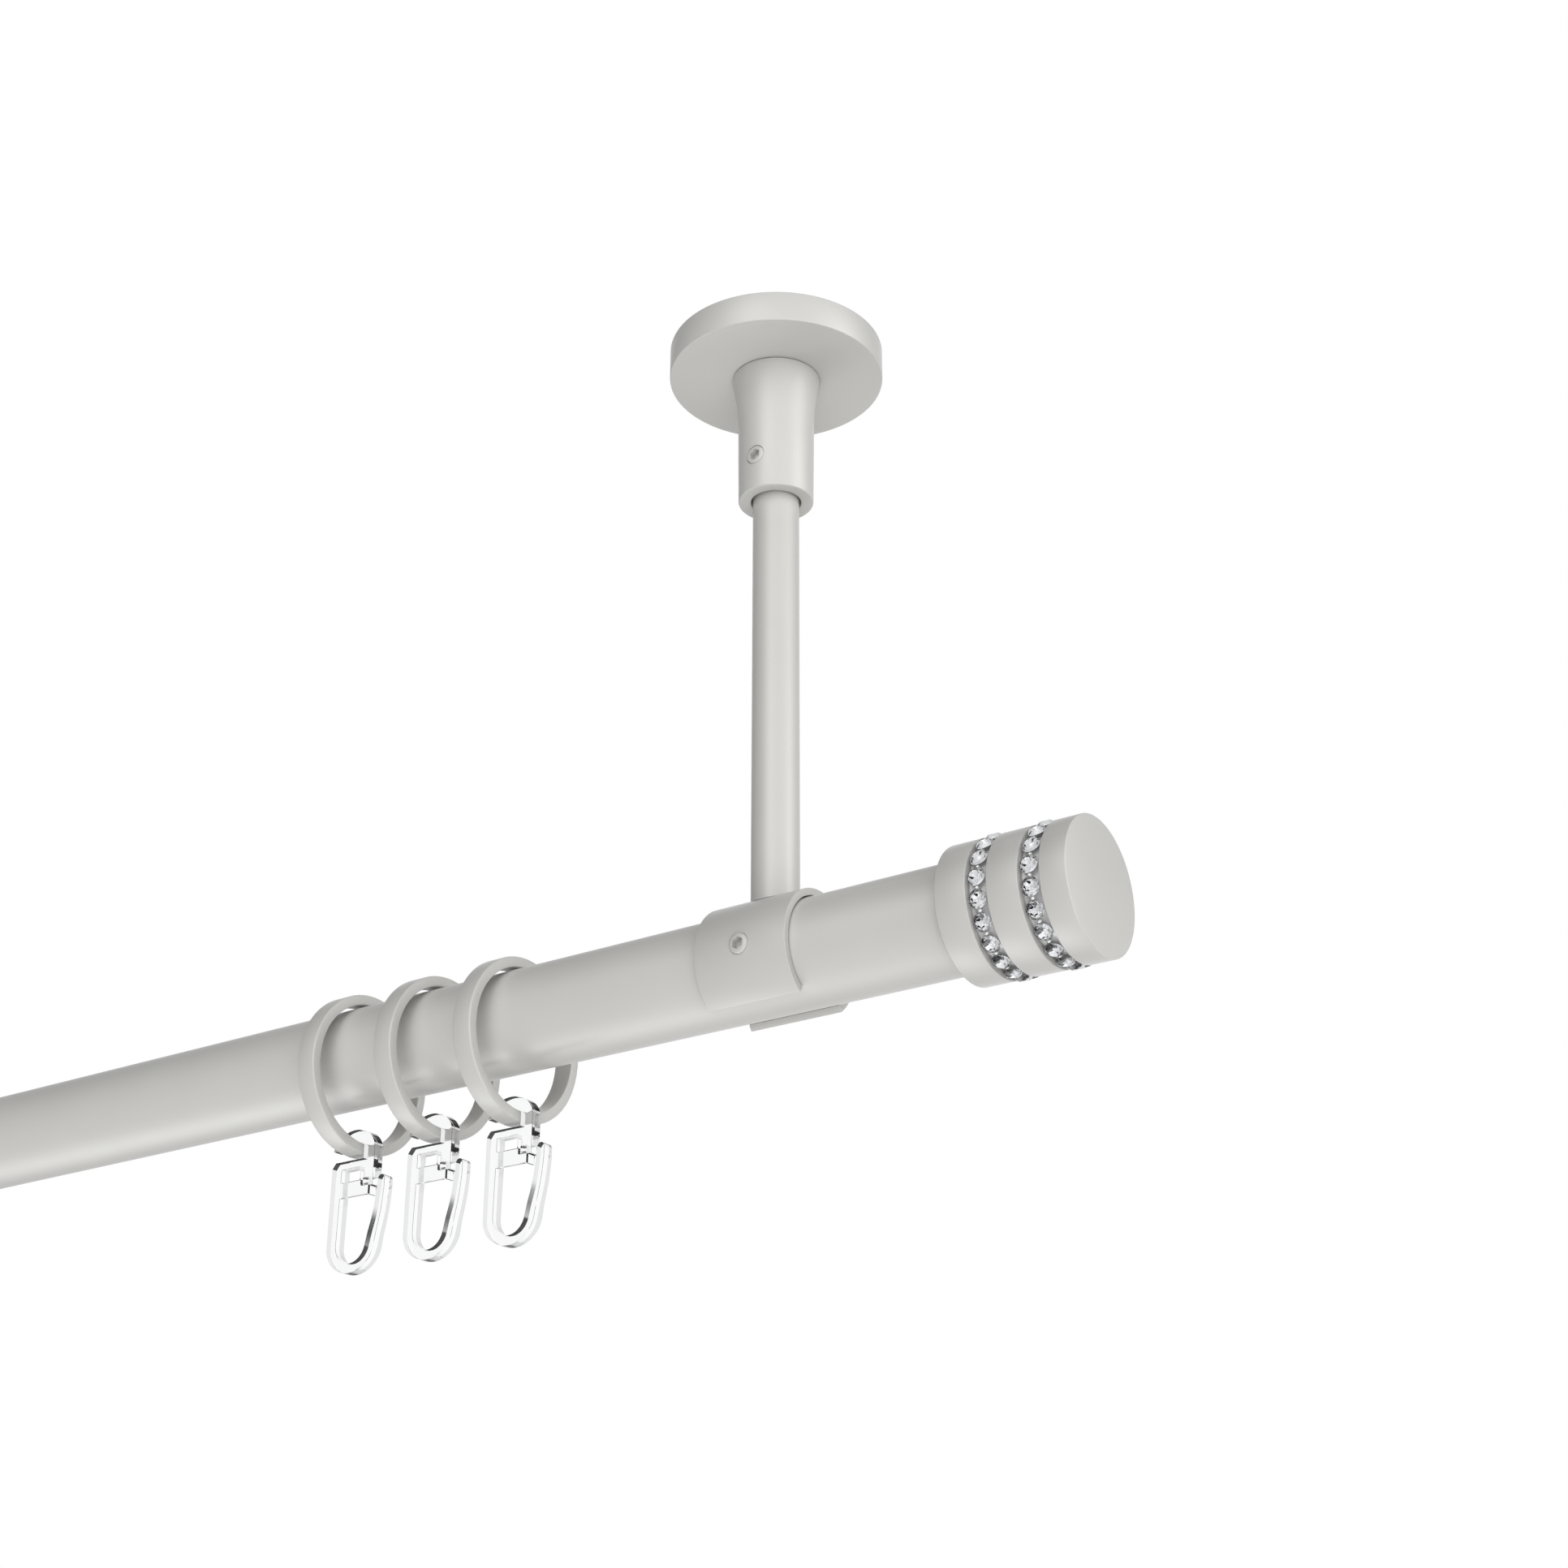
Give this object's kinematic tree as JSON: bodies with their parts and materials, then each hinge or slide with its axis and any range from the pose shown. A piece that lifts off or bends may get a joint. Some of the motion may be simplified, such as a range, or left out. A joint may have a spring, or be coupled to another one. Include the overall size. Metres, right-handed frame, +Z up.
{
  "type": "curtain rod with brackets",
  "caption": "Round curtain rod hung from the ceiling on two stem brackets, with capped finials set with crystal bands, sliding rings and clear hooks.",
  "frame": {"origin": "on the ceiling plane, midway between the two brackets, above the rod", "axes": "+X along the rod towards the right finial, +Z up to the ceiling, -Y towards the room, the side that the set screws face"},
  "size_m": [0.8502, 0.0428, 0.1747],
  "materials": {
    "satin_paint": "warm light grey satin enamel",
    "zinc_plated_steel": "zinc plated",
    "black_rubber": "matt",
    "cut_crystal": "faceted, mirror-backed",
    "clear_plastic": "moulded clear plastic, polished"
  },
  "bodies": {
    "ceiling_mounts": {"left_mounting_plate": "zinc_plated_steel", "left_hanger_stud": "zinc_plated_steel", "left_ceiling_cover": "satin_paint", "left_stem_socket": "satin_paint", "right_mounting_plate": "zinc_plated_steel", "right_hanger_stud": "zinc_plated_steel", "right_ceiling_cover": "satin_paint", "right_stem_socket": "satin_paint"},
    "hanger": {"left_stem": "satin_paint", "left_saddle_screw": "zinc_plated_steel", "left_rod_saddle": "satin_paint", "right_stem": "satin_paint", "right_saddle_screw": "zinc_plated_steel", "right_rod_saddle": "satin_paint"},
    "rod": {"rod_tube": "satin_paint"},
    "left_finial": {"left_finial_body": "satin_paint", "left_crystal_row_inner": "cut_crystal", "left_crystal_row_outer": "cut_crystal", "left_grip_ring_inner": "black_rubber", "left_grip_ring_outer": "black_rubber"},
    "right_finial": {"right_finial_body": "satin_paint", "right_crystal_row_inner": "cut_crystal", "right_crystal_row_outer": "cut_crystal", "right_grip_ring_inner": "black_rubber", "right_grip_ring_outer": "black_rubber"},
    "left_socket_set_screw": {"left_socket_set_screw": "satin_paint"},
    "left_saddle_set_screw": {"left_saddle_set_screw": "satin_paint"},
    "right_socket_set_screw": {"right_socket_set_screw": "satin_paint"},
    "right_saddle_set_screw": {"right_saddle_set_screw": "satin_paint"},
    "left_ring_1": {"left_ring_1": "satin_paint"},
    "left_hook_1": {"left_hook_1": "clear_plastic"},
    "left_ring_2": {"left_ring_2": "satin_paint"},
    "left_hook_2": {"left_hook_2": "clear_plastic"},
    "left_ring_3": {"left_ring_3": "satin_paint"},
    "left_hook_3": {"left_hook_3": "clear_plastic"},
    "right_ring_1": {"right_ring_1": "satin_paint"},
    "right_hook_1": {"right_hook_1": "clear_plastic"},
    "right_ring_2": {"right_ring_2": "satin_paint"},
    "right_hook_2": {"right_hook_2": "clear_plastic"},
    "right_ring_3": {"right_ring_3": "satin_paint"},
    "right_hook_3": {"right_hook_3": "clear_plastic"}
  },
  "joints": [
    {"name": "height_adjust", "type": "slide", "parent": "ceiling_mounts", "child": "hanger", "axis": [0, 0, 1], "range_m": [-0.005, 0.0035]},
    {"name": "rod_slide", "type": "slide", "parent": "hanger", "child": "rod", "axis": [1, 0, 0], "range_m": [-0.03, 0.03]},
    {"name": "left_finial_pull", "type": "slide", "parent": "rod", "child": "left_finial", "axis": [-1, 0, 0], "range_m": [0, 0.017]},
    {"name": "right_finial_pull", "type": "slide", "parent": "rod", "child": "right_finial", "axis": [1, 0, 0], "range_m": [0, 0.017]},
    {"name": "left_socket_screw_turn", "type": "hinge", "parent": "ceiling_mounts", "child": "left_socket_set_screw", "pos_m": [-0.3593, 0, -0.0275], "axis": [0, -1, 0], "range_deg": [0, 720]},
    {"name": "left_saddle_screw_turn", "type": "hinge", "parent": "hanger", "child": "left_saddle_set_screw", "pos_m": [-0.3593, 0, -0.1308], "axis": [0, -1, 0], "range_deg": [0, 720]},
    {"name": "right_socket_screw_turn", "type": "hinge", "parent": "ceiling_mounts", "child": "right_socket_set_screw", "pos_m": [0.3593, 0, -0.0275], "axis": [0, -1, 0], "range_deg": [0, 720]},
    {"name": "right_saddle_screw_turn", "type": "hinge", "parent": "hanger", "child": "right_saddle_set_screw", "pos_m": [0.3593, 0, -0.1308], "axis": [0, -1, 0], "range_deg": [0, 720]},
    {"name": "left_ring_1_slide", "type": "slide", "parent": "hanger", "child": "left_ring_1", "axis": [1, 0, 0], "range_m": [-0.048, 0.0055]},
    {"name": "left_hook_1_swing", "type": "hinge", "parent": "left_ring_1", "child": "left_hook_1", "pos_m": [-0.2991, 0, -0.13475], "axis": [1, 0, 0], "range_deg": [-90, 90]},
    {"name": "left_ring_2_slide", "type": "slide", "parent": "hanger", "child": "left_ring_2", "axis": [1, 0, 0], "range_m": [-0.0055, 0.0055]},
    {"name": "left_hook_2_swing", "type": "hinge", "parent": "left_ring_2", "child": "left_hook_2", "pos_m": [-0.2791, 0, -0.13475], "axis": [1, 0, 0], "range_deg": [-90, 90]},
    {"name": "left_ring_3_slide", "type": "slide", "parent": "hanger", "child": "left_ring_3", "axis": [1, 0, 0], "range_m": [-0.0055, 0.5035]},
    {"name": "left_hook_3_swing", "type": "hinge", "parent": "left_ring_3", "child": "left_hook_3", "pos_m": [-0.2591, 0, -0.13475], "axis": [1, 0, 0], "range_deg": [-90, 90]},
    {"name": "right_ring_1_slide", "type": "slide", "parent": "hanger", "child": "right_ring_1", "axis": [1, 0, 0], "range_m": [-0.0055, 0.048]},
    {"name": "right_hook_1_swing", "type": "hinge", "parent": "right_ring_1", "child": "right_hook_1", "pos_m": [0.2991, 0, -0.13475], "axis": [1, 0, 0], "range_deg": [-90, 90]},
    {"name": "right_ring_2_slide", "type": "slide", "parent": "hanger", "child": "right_ring_2", "axis": [1, 0, 0], "range_m": [-0.0055, 0.0055]},
    {"name": "right_hook_2_swing", "type": "hinge", "parent": "right_ring_2", "child": "right_hook_2", "pos_m": [0.2791, 0, -0.13475], "axis": [1, 0, 0], "range_deg": [-90, 90]},
    {"name": "right_ring_3_slide", "type": "slide", "parent": "hanger", "child": "right_ring_3", "axis": [1, 0, 0], "range_m": [-0.5035, 0.0055]},
    {"name": "right_hook_3_swing", "type": "hinge", "parent": "right_ring_3", "child": "right_hook_3", "pos_m": [0.2591, 0, -0.13475], "axis": [1, 0, 0], "range_deg": [-90, 90]}
  ]
}
